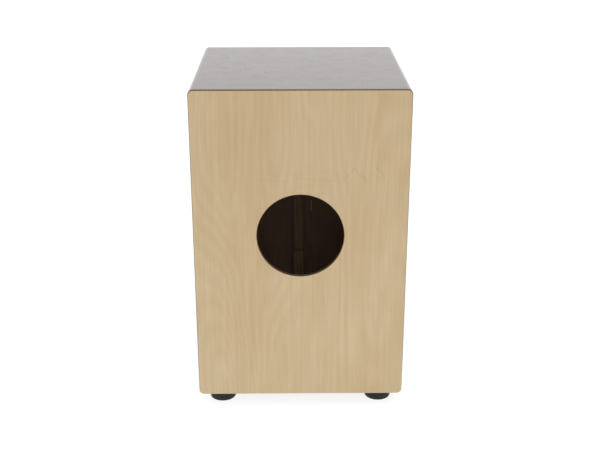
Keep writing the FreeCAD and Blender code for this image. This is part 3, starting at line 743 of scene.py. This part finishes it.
string = {
    "radius": 0.5 * mm,
    "dip": 0.09 * mm,  # how deep the winding's grooves are
    "pitch": 0.42 * mm,
    "count": 8,
    "steps": 3,  # rings for each turn of the winding
    "ball": 1.7 * mm,
    "ballWidth": 2.0 * mm,
    "ballGroove": 0.5 * mm,
    "ballHole": 0.6 * mm,
    "hang": 0.2 * mm,  # how far a ball has been drawn along its pocket
    "twist": 8 * mm,  # the doubled part beside each ball
    "twistRadius": 0.78 * mm,
    "twistPitch": 1.3 * mm,
    "twistDip": 0.22 * mm,
    "untwist": 1.5 * mm,  # the length over which the doubled part ends
    "lipLevel": 0.08325,  # the guide's lip
    "leaveLevel": 0.452,  # where the string leaves the plate for its upper ball
    "bendBlur": 0.8 * mm,
    "ballEdge": 0.2 * mm,
    "plainBall": 1.9 * mm,  # radius of the ball that this one replaces
}


def stringCentre(s, sign, z):
    (lowX, highX), (lowY, runY, highY), (lowZ, highZ) = s["line"]
    share = (z - lowZ) / (highZ - lowZ)
    x = sign * (lowX + (highX - lowX) * share)
    if z > s["leaveLevel"]:
        y = runY + (highY - runY) * (z - s["leaveLevel"]) / (highZ - s["leaveLevel"])
    elif z < s["lipLevel"]:
        y = runY + (lowY - runY) * (s["lipLevel"] - z) / (s["lipLevel"] - lowZ)
    else:
        y = runY
    return Vector((x, y, z))


def stringRings(s, sign):
    lowZ, highZ = s["line"][2]
    start, stop = lowZ + s["ball"], highZ - s["ball"] + 0.2 * mm
    rise = s["pitch"] / s["steps"]
    count = int((stop - start) / rise)
    rings = []
    for k in range(count + 1):
        z = start + (stop - start) * k / count
        spots = [stringCentre(s, sign, z + step * s["bendBlur"]) for step in (-1, 0, 1)]
        centre = sum(spots, Vector()) / 3
        fromEnd = min(z - start, stop - z)
        twisted = max(0.0, min(1.0, (s["twist"] - fromEnd) / s["untwist"]))
        pitch = s["twistPitch"] if twisted > 0 else s["pitch"]
        ring = []
        for i in range(s["count"]):
            turn = 2 * math.pi * i / s["count"]
            swing = z / pitch * 2 * math.pi + turn
            wound = s["radius"] - s["dip"] * (0.5 + 0.5 * math.cos(swing))
            doubled = s["twistRadius"] - s["twistDip"] * (0.5 + 0.5 * math.cos(turn + swing))
            radius = wound + (doubled - wound) * twisted
            ring.append(centre + Vector((radius * math.cos(turn), radius * math.sin(turn), 0)))
        rings.append(ring)
    return rings


def ballRings(s, centre):
    # turned about X: flange, groove, flange, and the hole through the middle
    rim, half, groove = s["ball"], s["ballWidth"] / 2, s["ball"] - s["ballGroove"]
    edge = s["ballEdge"]
    profile = [
        (s["ballHole"], -half), (rim - edge, -half), (rim, -half + edge), (rim, -half * 0.55),
        (groove, -half * 0.3), (groove, half * 0.3), (rim, half * 0.55), (rim, half - edge),
        (rim - edge, half), (s["ballHole"], half),
    ]
    return [
        circle(centre + Vector((x, 0, 0)), r, 32, Vector((0, 1, 0)), Vector((0, 0, 1)))
        for r, x in profile
    ]


def makeString(s, side, sign):
    cad = f"snare_string_{side}"
    low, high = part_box(cad)
    outer = s["plainBall"]
    near, far = (abs(low.x), abs(high.x)) if sign > 0 else (abs(high.x), abs(low.x))
    s["line"] = (
        (near + outer, far - outer),
        (low.y + outer + 0.4 * mm, high.y - s["radius"], low.y + outer),
        (low.z + outer, high.z - outer),
    )
    lowX, highX = s["line"][0]
    lowY, _, highY = s["line"][1]
    lowZ, highZ = s["line"][2]
    lower = Vector((sign * lowX, lowY, lowZ + s["hang"]))
    upper = Vector((sign * highX, highY, highZ - s["hang"]))
    parts = [(skin(stringRings(s, sign)), 0)]
    parts += [(skin(ballRings(s, spot), "joined"), 1) for spot in (lower, upper)]
    finishes = [coated["stringSteel"], coated["brass"]]
    made = piece(f"wound_string_{side}", joined(parts), finishes)
    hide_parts(cad)
    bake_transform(made)


for side, sign in (("left", -1), ("right", 1)):
    makeString(string, side, sign)
print("strings wound")


# the tension screws: threaded, with a ribbed head and a hexagon socket

tension = {
    "count": 48,
    "head": 4.25 * mm,
    "headHeight": 5 * mm,
    "rib": 0.16 * mm,
    "edge": 0.5 * mm,
    "socket": 2.0 * mm,  # half the distance across the flats
    "socketDepth": 2.5 * mm,
    "shank": 2.5 * mm,
    "pitch": 0.8 * mm,
    "steps": 8,
    "threadDepth": 0.45 * mm,
    "plain": 1.6 * mm,  # bare shank under the head
    "tip": 0.8 * mm,
}


def hexagon(centre, half, count):
    ring = []
    for i in range(count):
        turn = 2 * math.pi * i / count
        off = (turn + math.pi / 6) % (math.pi / 3) - math.pi / 6
        reach = half / math.cos(off)
        ring.append(centre + Vector((reach * math.cos(turn), reach * math.sin(turn), 0)))
    return ring


def tensionRings(t, axis, low, high):
    count = t["count"]

    def level(z):
        return Vector((axis[0], axis[1], z))

    def ribbed(z, radius, depth):
        turns = [2 * math.pi * i / count for i in range(count)]
        reach = [radius - depth * (i % 2) for i in range(count)]
        return [level(z) + Vector((r * math.cos(a), r * math.sin(a), 0)) for r, a in zip(reach, turns)]

    floor, top = low + t["socketDepth"], low + t["headHeight"]
    rings = [
        circle(level(floor + 0.4 * mm), 0.2 * mm, count),
        hexagon(level(floor), t["socket"] - 0.15 * mm, count),
        hexagon(level(floor - 0.1 * mm), t["socket"], count),
        hexagon(level(low + 0.25 * mm), t["socket"], count),
        circle(level(low), t["socket"] * 1.22, count),
        circle(level(low), t["head"] - t["edge"] * 1.2, count),
        ribbed(low + t["edge"] * 0.3, t["head"] - t["edge"] * 0.5, 0),
        ribbed(low + t["edge"], t["head"], 0.2 * t["rib"]),
        ribbed(low + t["edge"] * 1.5, t["head"], t["rib"]),
        ribbed(top - t["edge"], t["head"], t["rib"]),
        ribbed(top - t["edge"] * 0.6, t["head"], 0),
        circle(level(top), t["head"] - 0.15 * mm, count),
        circle(level(top), t["shank"] + 0.2 * mm, count),
        circle(level(top + 0.2 * mm), t["shank"], count),
    ]
    begin, stop = top + t["plain"], high - t["tip"]
    rise = t["pitch"] / t["steps"]
    for k in range(int((stop - begin) / rise) + 1):
        z = begin + k * rise
        growth = min(1.0, k / t["steps"], (stop - z) / t["pitch"] + 0.2)
        ring = []
        for i in range(count):
            turn = 2 * math.pi * i / count
            climb = (z / t["pitch"] - i / count) % 1.0
            groove = max(0.0, min(1.0, 1.25 - abs(climb - 0.5) * 2.9))
            r = t["shank"] - t["threadDepth"] * groove * growth
            ring.append(level(z) + Vector((r * math.cos(turn), r * math.sin(turn), 0)))
        rings.append(ring)
    rings.append(circle(level(high - t["tip"] * 0.4), t["shank"] - 0.5 * mm, count))
    rings.append(circle(level(high), t["shank"] - 0.9 * mm, count))
    return rings


for side in ("left", "right"):
    low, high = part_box(f"tension_screw_{side}")
    middle = (low + high) / 2
    mesh = skin(tensionRings(tension, (middle.x, middle.y), low.z, high.z))
    made = piece(
        f"threaded_screw_{side}", mesh, [coated["blackSteel"]], f"{side}_screw", 32
    )
    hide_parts(f"tension_screw_{side}")
print("tension screws cut")


# the damper: a block of wool felt, its edges worn soft and its faces a little lumpy

damper = {
    "cells": 1.1 * mm,
    "round": 2.2 * mm,
    "lump": 0.35 * mm,
    "fuzz": 0.12 * mm,
    "lumps": 90,  # changes a metre
    "fibres": 900,
    "fill": 0.95,
}


def makeDamper(d):
    low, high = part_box("damper_pad")
    size, centre = high - low, (low + high) / 2
    mesh = bmesh.new()
    bmesh.ops.create_cube(mesh, size=1.0)
    for axis in range(3):
        cuts = int(size[axis] / d["cells"])
        edges = [e for e in mesh.edges if abs((e.verts[0].co - e.verts[1].co)[axis]) > 0.9]
        bmesh.ops.subdivide_edges(mesh, edges=edges, cuts=cuts, use_grid_fill=True)
    core = size / 2 - Vector((d["round"],) * 3)
    for vert in mesh.verts:
        spot = Vector(vert.co[i] * size[i] for i in range(3))
        held = Vector(max(-core[i], min(core[i], spot[i])) for i in range(3))
        out = spot - held
        if out.length > 0:
            lump = 0.5 + 0.5 * noise.noise((centre + spot) * d["lumps"])
            fuzz = 0.5 + 0.5 * noise.noise((centre + spot) * d["fibres"])
            sunk = d["lump"] * lump + d["fuzz"] * fuzz
            if spot.y < -size.y / 2 + d["round"] * 0.5:
                sunk = 0  # glued flat to the post
            spot = held + out.normalized() * (d["round"] - sunk)
        vert.co = centre + spot
    made = piece("felt_damper", mesh, [soft["felt"]], "box", 180)
    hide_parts("damper_pad")


makeDamper(damper)
print("damper made")


# glue squeezed out along the joints inside the box

glue = {
    "radius": 0.9 * mm,
    "step": 2.5 * mm,
    "count": 8,
    "inset": 4 * mm,
    "cornerGap": 20 * mm,  # from a deck to the end of an upright bead
    "swells": 90,
}


def glueBead(g, start, end, seed):
    line = end - start
    run = line.normalized()
    across = Vector((0, 0, 1)) if abs(run.z) < 0.5 else Vector((1, 0, 0))
    up = run.cross(across).normalized()
    count = max(4, int(line.length / g["step"]))
    rings = []
    for k in range(count + 1):
        share = k / count
        spot = start + line * share
        swell = 0.55 + 0.45 * noise.noise(Vector((seed, spot.dot(run) * g["swells"], 0)))
        swell *= min(1.0, 0.25 + 8 * share * (1 - share))
        rings.append(circle(spot, g["radius"] * swell, g["count"], across, up))
    return skin(rings)


def glueLines(g):
    lines = []
    for level, up in (("bottom", 1), ("top", -1)):
        for side, out in (("left", -1), ("right", 1)):
            low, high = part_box(f"corner_batten_{level}_{side}")
            back, front = low.y + g["inset"], high.y - g["inset"]
            wallX = low.x if out < 0 else high.x
            deckZ = low.z if up > 0 else high.z
            farX = high.x if out < 0 else low.x
            farZ = high.z if up > 0 else low.z
            lines.append((Vector((wallX, back, farZ)), Vector((wallX, front, farZ))))
            lines.append((Vector((farX, back, deckZ)), Vector((farX, front, deckZ))))
    left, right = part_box("left_side_panel"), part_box("right_side_panel")
    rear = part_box("rear_panel")[1].y
    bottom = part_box("bottom_panel")[1].z + g["cornerGap"]
    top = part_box("top_panel")[0].z - g["cornerGap"]
    for x in (left[1].x, right[0].x):
        lines.append((Vector((x, rear, bottom)), Vector((x, rear, top))))
    return lines


beads = [(glueBead(glue, *line, 3.7 * k), 0) for k, line in enumerate(glueLines(glue))]
piece("glue_beads", joined(beads), [soft["glue"]], "box", 60)
print("glue beads laid")


# the floor and the lights

studio = {
    "floorSize": 30,
    "floor": paint(137, 137, 137),
    "mottle": paint(134, 134, 134),
    "glow": 0.85,
    "sky": 0.95,
    "lamps": [
        # name, power as brightness, size, place, aimed at
        ("keySoftbox", 2.0, (0.9, 0.6), (0.2, -2.5, 1.85), (0, 0, 0.2)),
        ("lowSoftbox", 2.7, (0.5, 0.4), (0.1, -2.6, 0.98), (0, 0, 0.25)),
        ("fillSoftbox", 0.8, (1.2, 0.9), (-2.0, 2.0, 1.6), (0, 0, 0.3)),
        ("overhead", 0.6, (2.4, 2.4), (0, 0, 3.2), (0, 0, 0)),
    ],
}


def makeStudio(s):
    finish = Finish("floorPaper")
    mottle = finish.speckle((3, 3, 3), 3.0, 0.5, 2)
    colour = finish.mixed(mottle, s["floor"], s["mottle"])
    material = finish.surface(
        colour, 0.8 + mottle * 0.1, mottle, 0.02 * mm,
        Specular_IOR_Level=0.0, Emission_Color=(1, 1, 1, 1), Emission_Strength=s["glow"],
    )
    mesh = bmesh.new()
    bmesh.ops.create_grid(mesh, x_segments=8, y_segments=8, size=s["floorSize"] / 2)
    data = bpy.data.meshes.new("floor")
    mesh.to_mesh(data)
    mesh.free()
    data.materials.append(material)
    floor = bpy.data.objects.new("floor", data)
    scene.collection.objects.link(floor)
    for name, brightness, size, place, aim in s["lamps"]:
        lamp = bpy.data.lights.new(name, "AREA")
        lamp.shape = "RECTANGLE"
        lamp.size, lamp.size_y = size
        lamp.energy = brightness * size[0] * size[1] * math.pi
        holder = bpy.data.objects.new(name, lamp)
        holder.location = place
        holder.rotation_euler = (Vector(aim) - Vector(place)).to_track_quat("-Z", "Y").to_euler()
        holder.visible_camera = False
        scene.collection.objects.link(holder)
    world = bpy.data.worlds.new("studio")
    world.use_nodes = True
    background = world.node_tree.nodes["Background"]
    background.inputs["Color"].default_value = (1, 1, 1, 1)
    background.inputs["Strength"].default_value = s["sky"]
    scene.world = world


makeStudio(studio)
print("studio lit")
